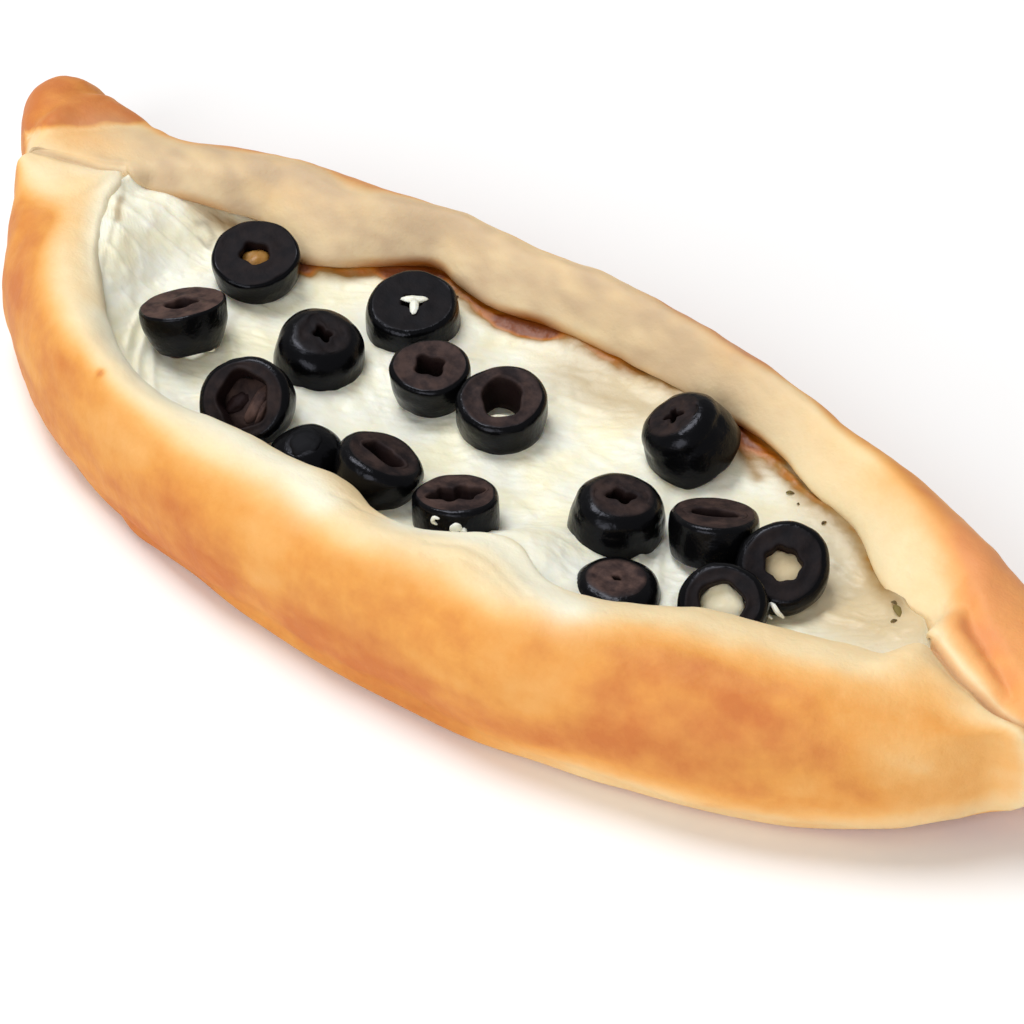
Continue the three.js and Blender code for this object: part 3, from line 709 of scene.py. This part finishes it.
# the cheese: melted white cheese in the trough, drawn a little up the walls and round the olives
cheese = {
    "from": -107.5, "to": 111.5, "stations": 380, "across": 170, "under": 8,
    "level": 16.5, "swell": 1.0, "riseLeft": 5.0, "riseRight": 4.5, "riseFar": 2.2,
    "tuckNear": 2.5, "tuckFar": 4.5,  # how far it reaches in under each wall
    "lap": 0.6,  # how high it stands over the near wall's inner edge where it is flush with it
    "thinnest": 1.0, "bottom": 12.0,  # its least thickness, and the height of its underside
    # fine ridges of stretched cheese: line in plan, width, height
    "ridges": [
        ([(-98, 6), (-92, 10), (-86, 12)], 0.7, 0.5), ([(-94, 1), (-88, 4.5), (-82, 6)], 0.6, 0.35),
        ([(-93, -3), (-85, -1), (-79, 2)], 0.6, 0.4), ([(-89, -8), (-82, -7), (-75, -3)], 0.6, 0.35),
        ([(-84, -13), (-78, -13), (-72, -10)], 0.6, 0.4), ([(-78, -18), (-73, -17), (-68, -14)], 0.6, 0.4),
        ([(-67, -19), (-63, -25), (-59, -29)], 0.6, 0.6), ([(-62, -22), (-58, -26), (-53, -30)], 0.6, 0.6),
        ([(-71, -17), (-69, -21), (-66, -25)], 0.6, 0.5), ([(-49, -26), (-45, -21), (-43, -15)], 0.7, 0.5),
        ([(-55, -8), (-50, -12), (-45, -16)], 0.7, 0.5), ([(44, 4), (46, -1), (48, -5)], 0.6, 0.6),
        ([(45.5, 7), (49, 1), (53, -3)], 0.6, 0.6), ([(56, 0), (58, -5), (62, -10)], 0.6, 0.6),
        ([(59, 2), (61, -3), (60, -8)], 0.6, 0.5), ([(-22, 12), (-19, 18), (-14, 22)], 0.9, 0.4),
        ([(-3, 20), (4, 24), (12, 26)], 0.9, 0.4), ([(8, -6), (16, -4), (24, -6)], 1.0, 0.3),
        ([(62, 22), (70, 24), (78, 23)], 0.9, 0.4), ([(80, 12), (88, 14), (95, 13)], 0.9, 0.4),
    ],
    # where it is thin and the bread shows through, and painted shade near the far lip: x, y, radius along x,
    # radius along y, strength
    "thinAndShade": [(84, 22, 14, 9, 0.75), (98, 15, 10, 8, 0.5), (76, 30, 12, 4.5, 0.5), (62, 31, 9, 4, 0.35),
             (-96, 10, 6, 3, 0.2), (9, 30, 16, 6, 0.9), (26, 33, 10, 4, 0.5), (84, 12, 12, 8, 0.6)],
    # golden places away from the lip: line in plan, width, strength
    "golden": [
        ([(-46, 26.5), (-43.5, 29.5), (-38.5, 30.6)], 1.4, 0.8),
        ([(-19.5, 31), (-14.4, 32.3), (-10, 34.8)], 1.5, 0.8), ([(-62, 15), (-57.5, 15.6)], 1.2, 0.4),
        ([(37, 36.6), (41, 34.8), (46, 32.4)], 1.6, 0.33),
        ([(-93.6, -1.4), (-91, -4.5), (-88.8, -6.2)], 0.8, 0.2), ([(-102, 6), (-98, 1)], 0.7, 0.15),
    ],
    # faint painted shade along its borders and under the far lip, and a few grey marks, in the same way
    "shadeLinesAndMarks": [
        ([(88, 27), (93, 24), (98, 20), (101.5, 16)], 1.3, 0.35),
        ([(-97.9, 3.1), (-94.7, 0.6), (-91, -4), (-82.2, -16), (-76.8, -22.4), (-70.2, -28)], 0.6, 0.35),
        ([(-83, 9.2), (-82.3, 11), (-79.6, 10.5), (-78.6, 8.4)], 0.7, 0.5),
        ([(-80.6, 7.2), (-78, 7.4)], 0.6, 0.45),
        ([(-86, -7), (-80, -11), (-73, -17)], 0.8, 0.2), ([(72, 30), (82, 26), (90, 21)], 1.8, 0.4),
        ([(62, 25), (72, 24), (80, 20)], 2.2, 0.25), ([(0, 31), (9, 30), (18, 31)], 4.5, 0.25),
    ],
    # beige shows thin cheese, and is also painted as shade towards the far wall
    "white": screen(255, 254, 236), "cream": screen(255, 247, 216), "beige": screen(219, 199, 160),
    "brown": screen(158, 120, 60), "baked": screen(182, 106, 14), "burnt": screen(128, 60, 4),
    # grey is the colour of the painted shade lines and of the grey marks
    "shadeAndMarkGrey": screen(150, 140, 118),
}


def cheeseHeight(x, y, r):
    c = cheese
    toNear = np.maximum(y - (r["nearIn"] - c["tuckNear"]), 0)
    toFar = np.maximum(r["farIn"] - y, 0)
    hills = np.sin(x / 9 + y / 14) * np.cos(y / 8 - x / 23) + 0.5 * np.sin(x / 5 + 2)
    z = c["level"] + c["swell"] * hills * smooth(toNear / 8) + 1.6 * np.exp(-toNear / 3)
    z = z + c["riseLeft"] * past(-x, 76, 28) + c["riseRight"] * past(x, 86, 20)
    inward = np.maximum(toNear - c["tuckNear"], 0)
    flush = np.maximum(r["soft"] * np.exp(-(inward / 13) ** 2), r["shelf"] * np.exp(-(inward / 12) ** 2))
    z = mix(z, r["nearEdge"] + c["lap"], flush)
    # at the left it slopes from the near edge up to the far roll
    acrossTrough = smooth((y - r["nearIn"]) / (r["farIn"] - r["nearIn"]))
    tilted = mix(r["nearEdge"] + c["lap"], r["lipLow"] + 1.2, acrossTrough)
    z = mix(z, tilted, past(-x, 74, 18))
    z = z + 1.8 * np.exp(-toFar / 3) * past(x, -86, 20) + c["riseFar"] * past(x, 52, 26) * np.exp(-toFar / 5)
    for (cx, cy, _), width, *_ in olives["slices"]:
        away = np.hypot(x - cx, y - cy) - width / 2
        z = z + 0.3 * np.exp(-np.maximum(away, 0) / 2.0)
    return z


# under the far lip the cheese stays below the lip, except at the right where it covers it
def underLip(z, x, y, r):
    lid = np.minimum(z, r["lipLow"] + 0.8 + 3 * past(x, 50, 24) * past(-x, -98, 12))
    return mix(z, lid, past(y - (r["farIn"] - 1), 0, 1.5))


def cheeseSurface(x, y, r):
    z = cheeseHeight(x, y, r)
    p = np.stack([x, y, z], axis=-1).reshape(-1, 3)
    along = np.stack([p[:, 0] * 0.86 + p[:, 1] * 0.5, p[:, 1] * 0.86 - p[:, 0] * 0.5, p[:, 2]], axis=-1)
    strings = np.maximum(1 - np.abs(lumps(along, (12, 2.2, 9), 14, 2)) / 0.3, 0) ** 2
    detail = 0.5 * lumps(p, 11, 11, 3) + 0.14 * lumps(p, 2.6, 12, 2) + 0.14 * strings
    z = z + detail.reshape(z.shape) + strokes(x, y, cheese["ridges"])
    z = underLip(z, x, y, r)
    # towards the ends it dives under the bread
    lid = r["nearEdge"] + cheese["lap"] - 3 * smooth(1 - r["open"] / 0.35) + 6 * past(r["open"], 0.8, 0.2)
    return np.minimum(z, lid)


def cheeseGrid():
    c = cheese
    stations = np.linspace(c["from"], c["to"], c["stations"])
    r = {key: value[:, None] for key, value in rib(stations).items()}
    v = np.linspace(0, 1, c["across"])[None, :]
    y = mix(r["nearIn"] - c["tuckNear"], r["farIn"] + c["tuckFar"] * r["open"], v)
    x = np.broadcast_to(stations[:, None], y.shape)
    return np.stack([x, y, cheeseSurface(x, y, r)], axis=-1), r


def cheesePaint(p, r):
    x, y, z = p.T
    toFar = np.abs(r["farIn"] - y)
    # a brown line along the far lip, partly baked cheese and partly painted shade under the lip, darker at
    # the scorched places
    edge = np.exp(-(toFar / 2.1) ** 2) * past(-np.abs(x - 5), -96, 20)
    streaks = 0.85 + 0.3 * lumps(p, (6, 2, 4), 21, 2)
    baked = edge * (0.4 + 0.9 * folds(x, bread["scorch"])) * streaks
    # beige where the cheese is thin, with painted shade darkening it towards the far wall
    thinAndShade = spots(x, y, cheese["thinAndShade"]) + 0.35 * np.exp(-toFar / 4) + 0.1 * lumps(p, 14, 22, 2)
    return {
        "baked": clamp01(baked + strokes(x, y, cheese["golden"])), "thinAndShade": clamp01(thinAndShade),
        # painted shade along the borders and under the far lip, and grey marks
        "shadeAndMarkGrey": clamp01(strokes(x, y, cheese["shadeLinesAndMarks"])),
    }


def cheeseMaterial():
    c = cheese
    material, tree, shader = newMaterial("meltedCheese")
    place = addNode(tree, "ShaderNodeTexCoord").outputs["Object"]
    patches = noiseNode(tree, place, 80, 4.0, 0.6)
    fine = noiseNode(tree, place, 650, 4.0, 0.6)
    colour = ramp(tree, patches, [(0.36, c["cream"]), (0.56, c["white"])])
    # beige for thin cheese and for painted shade near the far wall
    thinAndShade = mottle(tree, painted(tree, "thinAndShade"), fine, 0.12)
    colour = mixColour(tree, thinAndShade, colour, c["beige"])
    # painted shade along the borders and under the far lip, and a few grey marks
    colour = mixColour(tree, painted(tree, "shadeAndMarkGrey"), colour, c["shadeAndMarkGrey"])
    baked = ramp(tree, painted(tree, "baked"), [
        (0.0, c["brown"]), (0.35, c["brown"]), (0.6, c["baked"]), (0.95, c["burnt"]),
    ])
    colour = mixColour(tree, calc(tree, "MULTIPLY", painted(tree, "baked"), 2.5, True), colour, baked)
    feed(tree, shader.inputs["Base Color"], colour)
    setShader(shader, {
        "Roughness": 0.42, "Specular IOR Level": 0.4, "Subsurface Weight": 0.35,
        "Subsurface Radius": (1.0, 0.75, 0.5), "Subsurface Scale": 0.004,
    })
    skin = bump(tree, fine, 0.00025, 0.5)
    feed(tree, shader.inputs["Normal"], bump(tree, patches, 0.0012, 0.4, skin))
    return material


print("cheese: melting into the trough")
cheeseTop, cheeseRibs = cheeseGrid()
cheeseUnder = cheeseTop[:, ::-cheese["under"]].copy()
cheeseUnder[:, :, 2] = np.minimum(cheeseUnder[:, :, 2] - cheese["thinnest"], cheese["bottom"])
cheeseLoops = np.concatenate([cheeseTop, cheeseUnder], axis=1)
cheesePoints, cheeseFaces = skinLoops(cheeseLoops)
alongCheese = {
    key: np.concatenate([np.repeat(value[:, 0], cheeseLoops.shape[1]), value[[0, -1], 0]])
    for key, value in cheeseRibs.items()
}
cheeseLook = cheeseMaterial()
makePiece("meltedCheese", cheesePoints, cheeseFaces, cheeseLook, ["cheese_filling"],
          cheesePaint(cheesePoints, alongCheese))
print("cheese: done,", len(cheesePoints), "points")


# scraps of cheese in and on the olives, and the herbs
scraps = {
    # in a slice: its number, place in its own frame, three radii, turn, baked, thin
    "inSlices": [
        (1, (0.2, 0.2, 0.6), (2.6, 3.0, 1.4), -40, 0.4, 1.0),
        (8, (0.2, 0.6, 3.9), (2.5, 0.85, 0.5), 44, 0, 0), (8, (1.3, -0.7, 3.9), (2.2, 0.85, 0.5), -50, 0, 0),
        (10, (1.4, -1.9, 0.6), (2.4, 1.0, 0.7), 44, 0, 0.25),
        (15, (0, 0, -0.9), (3.9, 3.9, 0.9), 0, 0, 1.0), (16, (0, 0, -0.9), (4.3, 4.3, 0.9), 0, 0, 0.5),
    ],
    # on the filling: middle, three radii, turn
    "loose": [((-54.2, -14.6, 18.2), (1.3, 0.8, 0.7), 30), ((20.3, -22.2, 23), (1.2, 0.6, 1.0), 50),
              ((21.3, -21.3, 22.3), (0.7, 0.6, 0.6), 0)],
    # strings of cheese: line and radius
    "strings": [
        ([(73.2, 4.4, 20.5), (74.6, 3.6, 21.2), (75.8, 3.4, 20.4), (76.6, 4.2, 19.2)], 0.5),
        ([(17.6, -23.7, 24.5), (16.5, -24.1, 24.4), (16.3, -24.3, 23.4), (17.2, -23.9, 22.9)], 0.4),
        ([(72.6, 2.4, 19.6), (74.2, 1.8, 20.2), (75.6, 2.2, 19.6)], 0.35),
    ],
    # dried herb flakes: how high over the cheese, then x, y, length, turn
    "herbLift": 0.25,
    "herbs": [(54.3, 32, 1.6, 30), (64.8, 29.3, 1.1, 80), (91, 18.6, 3.2, -30), (89.2, 19.9, 1.4, 10),
              (92, 16.4, 1.3, 60), (57.6, 30.4, 0.6, 0), (-31, 30.5, 0.7, 50)],
    "leaf": screen(120, 104, 48), "leafDark": screen(74, 52, 26),
}


# a lump as loops along its own z, uneven all round
def lumpLoops(radii, seed):
    t = np.linspace(0.04, math.pi - 0.04, 14)[:, None]
    a = np.linspace(0, 2 * math.pi, 25)[None, :-1]
    unit = np.stack([np.sin(t) * np.cos(a), np.sin(t) * np.sin(a), np.cos(t) + 0 * a], axis=-1)
    uneven = 1 + 0.22 * lumps(unit.reshape(-1, 3) * 3, 2.2, seed, 2).reshape(unit.shape[:2])
    return unit * uneven[:, :, None] * np.array(radii)


def turnedFlat(p, degrees):
    c, s = math.cos(math.radians(degrees)), math.sin(math.radians(degrees))
    return p @ np.array([[c, s, 0], [-s, c, 0], [0, 0, 1]])


# a tube along a line of points, thinner towards its ends
def stringLoops(line, radius, flat=1.0):
    line = np.array(line, dtype=float)
    steps = np.linspace(0, len(line) - 1, 22)
    middle = np.stack([np.interp(steps, range(len(line)), line[:, k]) for k in range(3)], axis=-1)
    for _ in range(3):
        middle[1:-1] = (middle[:-2] + 2 * middle[1:-1] + middle[2:]) / 4
    ahead = np.gradient(middle, axis=0)
    ahead = ahead / np.linalg.norm(ahead, axis=1, keepdims=True)
    side = np.cross(ahead, (0, 0, 1))
    side = side / np.linalg.norm(side, axis=1, keepdims=True)
    up = np.cross(side, ahead)
    a = np.linspace(0, 2 * math.pi, 11)[:-1]
    thick = radius * np.sqrt(np.sin(np.linspace(0.12, math.pi - 0.12, len(middle))))
    ring = np.cos(a)[None, :, None] * side[:, None, :] + flat * np.sin(a)[None, :, None] * up[:, None, :]
    return middle[:, None, :] + ring * thick[:, None, None]


# several closed skins in one mesh, with the paint of each
def gather(parts):
    points, faces, paint = [], [], []
    start = 0
    for loops, tones in parts:
        p, f = skinLoops(loops)
        points.append(p)
        faces += [[start + k for k in face] for face in f]
        paint.append(np.repeat([tones], len(p), axis=0))
        start += len(p)
    return np.concatenate(points), faces, np.concatenate(paint)


# lumps that lie in the frame of an olive slice
def lumpsInSlices(rows, seed):
    parts = []
    for k, (number, place, radii, turn, *tones) in enumerate(rows):
        at, *_, lean, toward = olives["slices"][number - 1]
        p = turnedFlat(lumpLoops(radii, seed + k), turn) + np.array(place)
        parts.append((p @ turnedTo(oliveAxis(lean, toward)).T + np.array(at), tones))
    return parts


def cheeseScraps():
    parts = lumpsInSlices(scraps["inSlices"], 30)
    for seed, (middle, radii, turn) in enumerate(scraps["loose"]):
        parts.append((turnedFlat(lumpLoops(radii, seed + 50), turn) + np.array(middle), (0, 0)))
    for line, radius in scraps["strings"]:
        parts.append((stringLoops(line, radius), (0, 0)))
    return gather(parts)


def herbFlakes():
    parts = []
    for x, y, length, turn in scraps["herbs"]:
        spot = np.array([x])
        z = cheeseSurface(spot, np.array([y]), rib(spot))[0] + scraps["herbLift"]
        c, s = math.cos(math.radians(turn)) * length / 2, math.sin(math.radians(turn)) * length / 2
        line = [(x - c, y - s, z - 0.2), (x - 0.2 * c, y - 0.2 * s, z + 0.12), (x + c, y + s, z - 0.1)]
        parts.append((stringLoops(line, 0.19 * length + 0.12, 0.35), (length / 3,)))
    return gather(parts)


def herbMaterial():
    material, tree, shader = newMaterial("driedHerbs")
    place = addNode(tree, "ShaderNodeTexCoord").outputs["Object"]
    veins = noiseNode(tree, place, 900, 3.0, 0.6)
    level = calc(tree, "MULTIPLY", veins, calc(tree, "ADD", painted(tree, "green"), 0.5), True)
    feed(tree, shader.inputs["Base Color"],
         ramp(tree, level, [(0.3, scraps["leafDark"]), (0.7, scraps["leaf"])]))
    setShader(shader, {"Roughness": 0.7})
    feed(tree, shader.inputs["Normal"], bump(tree, veins, 0.0002, 0.6))
    return material


print("scraps: cheese bits, olive flesh and herbs")
points, faces, paint = gather(lumpsInSlices(olives["cores"], 70))
makePiece("oliveFlesh", points, faces, oliveLook, ["olive_01", "olive_04", "olive_05"],
          {"cut": paint[:, 0], "hole": paint[:, 1], "matt": np.ones(len(paint))})
points, faces, paint = cheeseScraps()
makePiece("cheeseScraps", points, faces, cheeseLook, ["cheese_filling"],
          {"baked": paint[:, 0], "thinAndShade": paint[:, 1], "shadeAndMarkGrey": np.zeros(len(paint))})
points, faces, paint = herbFlakes()
makePiece("herbFlakes", points, faces, herbMaterial(), ["cheese_filling"], {"green": paint[:, 0]})
print("scraps: done")


# the table, the lights and the camera
studio = {
    "tableSize": 3.0, "table": screen(252, 252, 252), "air": 0.3,
    "key": {"size": 1.2, "power": 38, "at": (-0.95, 0.1, 2.2)},
    "fill": {"size": 1.6, "power": 26, "at": (0.6, -1.9, 1.2)},
    "cameraAt": (0.3908, -0.3947, 0.4998), "azimuth": 43.73, "elevation": 42.0, "lens": 136.8,
}


def makeTable():
    size = studio["tableSize"]
    mesh = bpy.data.meshes.new("tableTop")
    corners = [(-size, -size, 0), (size, -size, 0), (size, size, 0), (-size, size, 0)]
    mesh.from_pydata(corners, [], [(0, 1, 2, 3)])
    material, tree, shader = newMaterial("paleTable")
    setShader(shader, {"Base Color": (*studio["table"], 1.0), "Roughness": 0.7})
    mesh.materials.append(material)
    table = bpy.data.objects.new("tableTop", mesh)
    bpy.context.collection.objects.link(table)


def makeLight(name, size, power, at):
    light = bpy.data.lights.new(name, "AREA")
    light.shape = "DISK"
    light.size = size
    light.energy = power
    lamp = bpy.data.objects.new(name, light)
    lamp.location = at
    lamp.rotation_mode = "QUATERNION"
    lamp.rotation_quaternion = (-Vector(at)).to_track_quat("-Z", "Y")
    bpy.context.collection.objects.link(lamp)


def makeAir():
    air = bpy.data.worlds.new("studioAir")
    air.use_nodes = True
    background = air.node_tree.nodes["Background"]
    background.inputs["Color"].default_value = (1.0, 1.0, 1.0, 1.0)
    background.inputs["Strength"].default_value = studio["air"]
    bpy.context.scene.world = air


def makeCamera():
    camera = bpy.data.cameras.new("camera")
    camera.lens = studio["lens"]
    camera.sensor_width = 36
    camera.clip_start = 0.01
    camera.clip_end = 20
    holder = bpy.data.objects.new("camera", camera)
    a, e = math.radians(studio["azimuth"]), math.radians(studio["elevation"])
    ahead = Vector((-math.sin(a) * math.cos(e), math.cos(a) * math.cos(e), -math.sin(e)))
    holder.rotation_mode = "QUATERNION"
    holder.rotation_quaternion = ahead.to_track_quat("-Z", "Y")
    holder.location = studio["cameraAt"]
    bpy.context.collection.objects.link(holder)
    bpy.context.scene.camera = holder


makeTable()
makeLight("keyLight", **studio["key"])
makeLight("fillLight", **studio["fill"])
makeAir()
makeCamera()
bpy.context.scene.view_settings.view_transform = "Standard"
print("studio: done")
